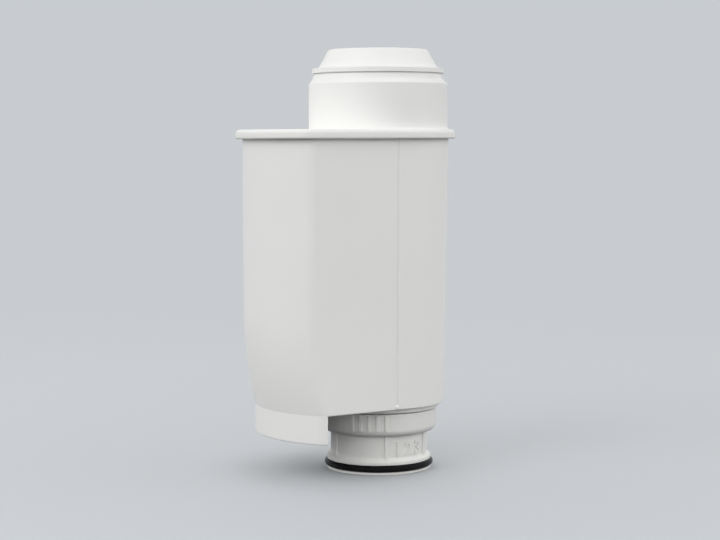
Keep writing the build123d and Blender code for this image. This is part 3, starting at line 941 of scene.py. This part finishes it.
class FILTER_OT_dial(bpy.types.Operator):
    """Model the setting dial with its nozzle, collar and ribs"""

    bl_idname = "water_filter.dial"
    bl_label = "Setting dial"

    def execute(self, context):
        sizes = context.scene.filter_dial
        dial = self.nozzle(sizes)
        self.add_ribs(dial, sizes)
        self.add_stops(dial, sizes)
        self.cut_holes(dial, sizes, context.scene.filter_housing, context.scene.filter_spigot)
        finish_surface(dial)
        dress(dial, "dial", dial_finish_painted_shade(context), "setting_dial")
        return {"FINISHED"}

    def nozzle(self, sizes):
        """The round form, from the outlet over the lands, neck and collar back to the bore."""
        cup = sizes.collar - sizes.collar_wall
        cup_floor = sizes.collar_bottom + sizes.collar_wall
        groove_bottom = SEAL_LOW.z - sizes.seal_gap
        groove_top = SEAL_HIGH.z + sizes.seal_gap
        root = sizes.seal_radius - sizes.seal_cord - sizes.seal_gap
        land_top = groove_top + sizes.upper_land
        edge = sizes.land_rounding
        snap_top = sizes.snap_bottom + sizes.snap_height
        return turn("setting_dial_moulding", [
            (sizes.outlet, sizes.foot, 0),
            (sizes.outlet, DIAL_LOW.z, edge),
            (sizes.land, DIAL_LOW.z, edge),
            (sizes.land, groove_bottom, edge / 2),
            (root, groove_bottom, 0),
            (root, groove_top, 0),
            (sizes.land, groove_top, edge / 2),
            (sizes.land, land_top, edge),
            (sizes.neck, land_top + sizes.land_flare, sizes.neck_foot),
            (sizes.neck, sizes.collar_bottom, edge),
            (sizes.collar, sizes.collar_bottom, sizes.collar_rounding),
            (sizes.collar, sizes.top, edge),
            (cup, sizes.top, edge),
            (cup, cup_floor, 0),
            (sizes.neck, cup_floor, 0),
            (sizes.neck, sizes.top, 0),
            (sizes.bore, sizes.top, 0),
            (sizes.bore, snap_top, 0),
            (sizes.snap_radius, snap_top, 0),
            (sizes.snap_radius, sizes.snap_bottom, 0),
            (sizes.bore, sizes.snap_bottom, 0),
            (sizes.bore, sizes.foot, 0),
            (sizes.outlet, sizes.foot, 0),
        ], closed=True)

    def add_ribs(self, dial, sizes):
        """Grip ribs on two sides of the collar, and ribs on the neck."""
        directions = [
            sizes.grip_start + side + sizes.grip_pitch * index
            for side in (0.0, pi)
            for index in range(sizes.grip_count)
        ]
        combine(dial, copies_around(self.grip_rib(sizes), directions), "UNION")
        land_top = SEAL_HIGH.z + sizes.seal_gap + sizes.upper_land
        half = sizes.rib_width / 2
        low = Vector((sizes.neck - sizes.rib_proud, -half, land_top - sizes.upper_land / 2))
        high = Vector((sizes.neck + sizes.rib_proud, half, sizes.collar_bottom + sizes.collar_wall / 2))
        rib = block("neck_ribs", low, high, RIB_EDGE_SHARE * sizes.rib_proud)
        combine(dial, copies_around(rib, [radians(a) for a in NECK_RIB_DIRECTIONS]), "UNION")

    def grip_rib(self, sizes):
        """A rib with rounded edges, down the collar's wall and round its lower edge."""
        half, proud = sizes.grip_width / 2, sizes.grip_proud
        edge = RIB_EDGE_SHARE * proud
        section = [
            (-half, -proud),
            (-half, proud - edge),
            (edge - half, proud),
            (half - edge, proud),
            (half, proud - edge),
            (half, -proud),
        ]
        rounding = sizes.collar_rounding
        bend = Vector((sizes.collar - rounding, 0, sizes.collar_bottom + rounding))
        rings = []
        for step in range(GRIP_BEND_STEPS, -1, -1):
            lean = sizes.grip_wrap * step / GRIP_BEND_STEPS
            out = Vector((cos(lean), 0, -sin(lean)))
            rings.append([bend + out * (rounding + high) + Vector((0, y, 0)) for y, high in section])
        top = Vector((0, 0, sizes.top - sizes.land_rounding - bend.z))
        rings.append([point + top for point in rings[-1]])
        return extrude_rings("grip_ribs", rings)

    def add_stops(self, dial, sizes):
        """A stop in the collar at each end of the settings."""
        cup = sizes.collar - sizes.collar_wall
        middle = (cup + sizes.neck) / 2
        cup_floor = sizes.collar_bottom + sizes.collar_wall
        half = sizes.stop_width / 2
        low = Vector((sizes.neck - sizes.stop_gap, -half, cup_floor - sizes.stop_gap))
        high = Vector((cup + sizes.stop_gap, half, sizes.top - sizes.land_rounding))
        spread = (sizes.stop_width + sizes.stop_gap) / middle
        travel = sizes.setting_lead + (len(NUMERALS) - 1) * sizes.setting_step
        stops = copies_around(block("stops", low, high), [-pi / 2 - spread, -pi / 2 + travel + spread])
        combine(dial, stops, "UNION")

    def cut_holes(self, dial, sizes, housing, spigot):
        """The metering holes, one for each setting."""
        for setting in range(len(NUMERALS)):
            radius = sizes.hole_radius + setting * sizes.hole_growth
            outside = (sizes.neck + sizes.collar - sizes.collar_wall) / 2
            direction = pi / 2 + sizes.setting_lead + setting * sizes.setting_step
            hole = bore_tool("hole", radius, spigot.radius - MM, outside, direction)
            hole.data.transform(Matrix.Translation((0, 0, housing.body_bottom - spigot.port_drop)))
            combine(dial, hole, "DIFFERENCE")


class FILTER_OT_numerals(bpy.types.Operator):
    """Raise the plain numerals of the settings on the dial's neck"""

    bl_idname = "water_filter.numerals"
    bl_label = "Numerals"

    def execute(self, context):
        sizes = context.scene.filter_dial
        pieces = [self.numeral(text, index, sizes) for index, text in enumerate(NUMERALS)]
        select_only(pieces[0])
        for piece in pieces:
            piece.select_set(True)
        bpy.ops.object.join()
        numerals = added("dial_numerals")
        finish_surface(numerals)
        dress(numerals, "dial", dial_finish_painted_shade(context))
        return {"FINISHED"}

    def numeral(self, text, index, sizes):
        """One numeral as a mesh, bent round the neck at its setting."""
        bpy.ops.object.select_all(action="DESELECT")
        bpy.ops.object.text_add()
        piece = bpy.context.object
        piece.data.body = text
        piece.data.size = sizes.numeral_height
        piece.data.extrude = sizes.numeral_proud
        piece.data.offset = sizes.numeral_weight
        piece.data.align_x = "CENTER"
        piece.data.align_y = "CENTER"
        bpy.ops.object.convert(target="MESH")
        piece = bpy.context.object
        bpy.ops.object.mode_set(mode="EDIT")
        bpy.ops.mesh.select_all(action="SELECT")
        bpy.ops.mesh.remove_doubles(threshold=MERGE_DISTANCE)
        bpy.ops.mesh.normals_make_consistent(inside=False)
        bpy.ops.object.mode_set(mode="OBJECT")
        direction = sizes.setting_lead + index * sizes.setting_step
        heights = [vert.co.y for vert in piece.data.vertices]
        middle = (min(heights) + max(heights)) / 2
        scale = sizes.numeral_height / (max(heights) - min(heights))
        for vert in piece.data.vertices:
            around = direction + vert.co.x * scale / sizes.neck
            out = sizes.neck + vert.co.z
            height = sizes.numeral_level + (vert.co.y - middle) * scale
            vert.co = (out * cos(around), out * sin(around), height)
        return piece


class FILTER_OT_seal(bpy.types.Operator):
    """Model the black ring seal in the nozzle's groove"""

    bl_idname = "water_filter.seal"
    bl_label = "Nozzle seal"

    def execute(self, context):
        sizes = context.scene.filter_dial
        half = sizes.seal_cord / 2
        centre = sizes.seal_radius - half
        height = (SEAL_LOW.z + SEAL_HIGH.z) / 2
        around = [2 * pi * step / CORD_STEPS for step in range(CORD_STEPS + 1)]
        profile = [(centre + half * sin(a), height + half * cos(a), 0) for a in around]
        seal = turn("nozzle_seal", profile, closed=True)
        finish_surface(seal)
        rubber = seal_rubber("greased_seal_rubber", context.scene.filter_colours.rubber)
        dress(seal, "dial", rubber, "nozzle_seal_ring")
        return {"FINISHED"}


class FILTER_OT_inner_pieces(bpy.types.Operator):
    """Give the pieces inside the housing their finishes"""

    bl_idname = "water_filter.inner_pieces"
    bl_label = "Inner pieces"

    def execute(self, context):
        colours = context.scene.filter_colours
        screen = satin_plastic("screen_plastic", colours.screen, shade(colours.screen, share=0.95))
        fleece = fleece_fibre("pressed_fleece", colours.fleece)
        finishes = {
            "inlet_strainer": screen,
            "lower_screen": screen,
            "upper_screen": screen,
            "lower_fleece": fleece,
            "upper_fleece": fleece,
            "filter_media": bead_granules("packed_granules", colours.granules),
            "spigot_seal_ring": seal_rubber("greased_seal_rubber", colours.rubber),
        }
        for node, material in finishes.items():
            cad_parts[node].material_slots[0].material = material
        return {"FINISHED"}


class FILTER_OT_stage(bpy.types.Operator):
    """Set up the floor, the soft lamps and the camera"""

    bl_idname = "water_filter.stage"
    bl_label = "Stage"

    def execute(self, context):
        settings = context.scene.filter_stage
        self.add_floor(settings)
        self.set_sky(context.scene, settings)
        self.add_lamps(context.scene, settings)
        self.add_camera(context.scene, settings)
        context.scene.view_settings.view_transform = "Standard"
        return {"FINISHED"}

    def add_floor(self, settings):
        """A pale floor that fades into the distance, throws back little light and is clear from below."""
        bpy.ops.object.select_all(action="DESELECT")
        bpy.ops.mesh.primitive_plane_add(size=FLOOR_SIZE)
        floor = added("floor")
        finish = Finish("pale_floor")
        tree = finish.tree
        finish.tint(finish.noise(scale=6.0, detail=2.0), settings.floor, shade(settings.floor, share=0.98))
        finish.set_inputs({"Roughness": 0.8})
        away = add_node(tree, "VectorMath", wires={0: finish.place}, operation="LENGTH").outputs["Value"]
        ends = {"From Min": settings.fade_start, "From Max": settings.fade_end}
        fade = add_node(tree, "MapRange", ends, {"Value": away}, interpolation_type="SMOOTHSTEP")
        far = add_node(tree, "Emission", {"Color": (*settings.background, 1.0)}).outputs[0]
        bounce = add_node(tree, "BsdfDiffuse", {"Color": (*settings.bounce, 1.0)}).outputs[0]
        seen = mixed(tree, fade.outputs["Result"], finish.shader.outputs[0], far)
        above = mixed(tree, seen_directly(tree), bounce, seen)
        below = add_node(tree, "NewGeometry").outputs["Backfacing"]
        surface = mixed(tree, below, above, add_node(tree, "BsdfTransparent").outputs[0])
        tree.links.new(surface, tree.nodes["Material Output"].inputs["Surface"])
        floor.data.materials.append(finish.material)

    def set_sky(self, scene, settings):
        """Soft light from all round, strongest at a middle height, and a pale background for the camera."""
        world = bpy.data.worlds.new("studio")
        scene.world = world
        world.use_nodes = True
        tree = world.node_tree
        direction = add_node(tree, "TexCoord").outputs["Generated"]
        rise = add_node(tree, "SeparateXYZ", wires={0: direction}).outputs["Z"]
        lower = {"From Max": SKY_MIDDLE, "To Min": settings.sky_low, "To Max": settings.sky_middle}
        upper = {"From Min": SKY_MIDDLE, "To Max": settings.sky_high - settings.sky_middle}
        ramps = [add_node(tree, "MapRange", ends, {"Value": rise}) for ends in (lower, upper)]
        strength = add_node(tree, "Math", wires={i: ramp.outputs["Result"] for i, ramp in enumerate(ramps)})
        light = tree.nodes["Background"]
        light.inputs["Color"].default_value = (1.0, 1.0, 1.0, 1.0)
        tree.links.new(strength.outputs[0], light.inputs["Strength"])
        seen = add_node(tree, "Background", {"Color": (*settings.background, 1.0)}).outputs[0]
        surface = mixed(tree, seen_directly(tree), light.outputs[0], seen)
        tree.links.new(surface, tree.nodes["World Output"].inputs["Surface"])

    def add_lamps(self, scene, settings):
        """Soft lamps, placed by direction as seen from the camera."""
        aim = Vector((0, 0, CAD_BOX[1][2] / 2))
        for name, power, from_camera, rise, distance, size in LAMPS:
            lamp = bpy.data.lights.new(name, "AREA")
            lamp.energy = getattr(settings, power)
            lamp.shape = "DISK"
            lamp.size = size
            bearing = settings.azimuth + radians(from_camera)
            level = cos(radians(rise))
            way = Vector((sin(bearing) * level, -cos(bearing) * level, sin(radians(rise))))
            holder = bpy.data.objects.new(name, lamp)
            holder.location = aim + way * distance
            holder.rotation_euler = way.to_track_quat("Z", "Y").to_euler()
            scene.collection.objects.link(holder)

    def add_camera(self, scene, settings):
        """The camera, from its place, pitch and roll."""
        camera = bpy.data.cameras.new("camera")
        camera.lens = settings.lens
        camera.sensor_width = SENSOR_WIDTH
        holder = bpy.data.objects.new("camera", camera)
        forward = Vector((-sin(settings.azimuth), cos(settings.azimuth), 0))
        right = Vector((cos(settings.azimuth), sin(settings.azimuth), 0))
        up = Vector((0, 0, 1))
        look = forward * cos(settings.pitch) - up * sin(settings.pitch)
        head = forward * sin(settings.pitch) + up * cos(settings.pitch)
        side = right * cos(settings.roll) + head * sin(settings.roll)
        head = head * cos(settings.roll) - right * sin(settings.roll)
        turned = Matrix((side, head, -look)).transposed().to_4x4()
        place = right * settings.sideways - forward * settings.distance + up * settings.height
        holder.matrix_world = Matrix.Translation(place) @ turned
        scene.collection.objects.link(holder)
        scene.camera = holder


class FILTER_PT_panel(bpy.types.Panel):
    """Sidebar panel with the sizes, the colours and the steps"""

    bl_idname = "FILTER_PT_panel"
    bl_label = "Water Filter"
    bl_space_type = "VIEW_3D"
    bl_region_type = "UI"
    bl_category = "Water Filter"

    def draw(self, context):
        layout = self.layout
        for operator in OPERATORS:
            layout.operator(operator.bl_idname)
        for name, group in GROUPS.items():
            box = layout.box()
            box.label(text=group.__doc__)
            settings = getattr(context.scene, name)
            for key in group.__annotations__:
                box.prop(settings, key)


GROUPS = {
    "filter_housing": HousingSizes,
    "filter_spigot": SpigotSizes,
    "filter_lid": LidSizes,
    "filter_cap": CapSizes,
    "filter_dial": DialSizes,
    "filter_colours": FinishColours,
    "filter_stage": StageSettings,
}
OPERATORS = (
    FILTER_OT_housing,
    FILTER_OT_lid,
    FILTER_OT_cap,
    FILTER_OT_dial,
    FILTER_OT_numerals,
    FILTER_OT_seal,
    FILTER_OT_inner_pieces,
    FILTER_OT_stage,
)


def register():
    """Register the settings, the steps and the panel."""
    for name, group in GROUPS.items():
        bpy.utils.register_class(group)
        setattr(bpy.types.Scene, name, bpy.props.PointerProperty(type=group))
    for operator in OPERATORS:
        bpy.utils.register_class(operator)
    bpy.utils.register_class(FILTER_PT_panel)


def unregister():
    """Remove the panel, the steps and the settings."""
    bpy.utils.unregister_class(FILTER_PT_panel)
    for operator in reversed(OPERATORS):
        bpy.utils.unregister_class(operator)
    for name, group in reversed(GROUPS.items()):
        delattr(bpy.types.Scene, name)
        bpy.utils.unregister_class(group)


def main():
    """Build the filter piece by piece."""
    register()
    bpy.ops.water_filter.housing()
    bpy.ops.water_filter.lid()
    bpy.ops.water_filter.cap()
    bpy.ops.water_filter.dial()
    bpy.ops.water_filter.numerals()
    bpy.ops.water_filter.seal()
    bpy.ops.water_filter.inner_pieces()
    bpy.ops.water_filter.stage()


if __name__ == "__main__":
    main()
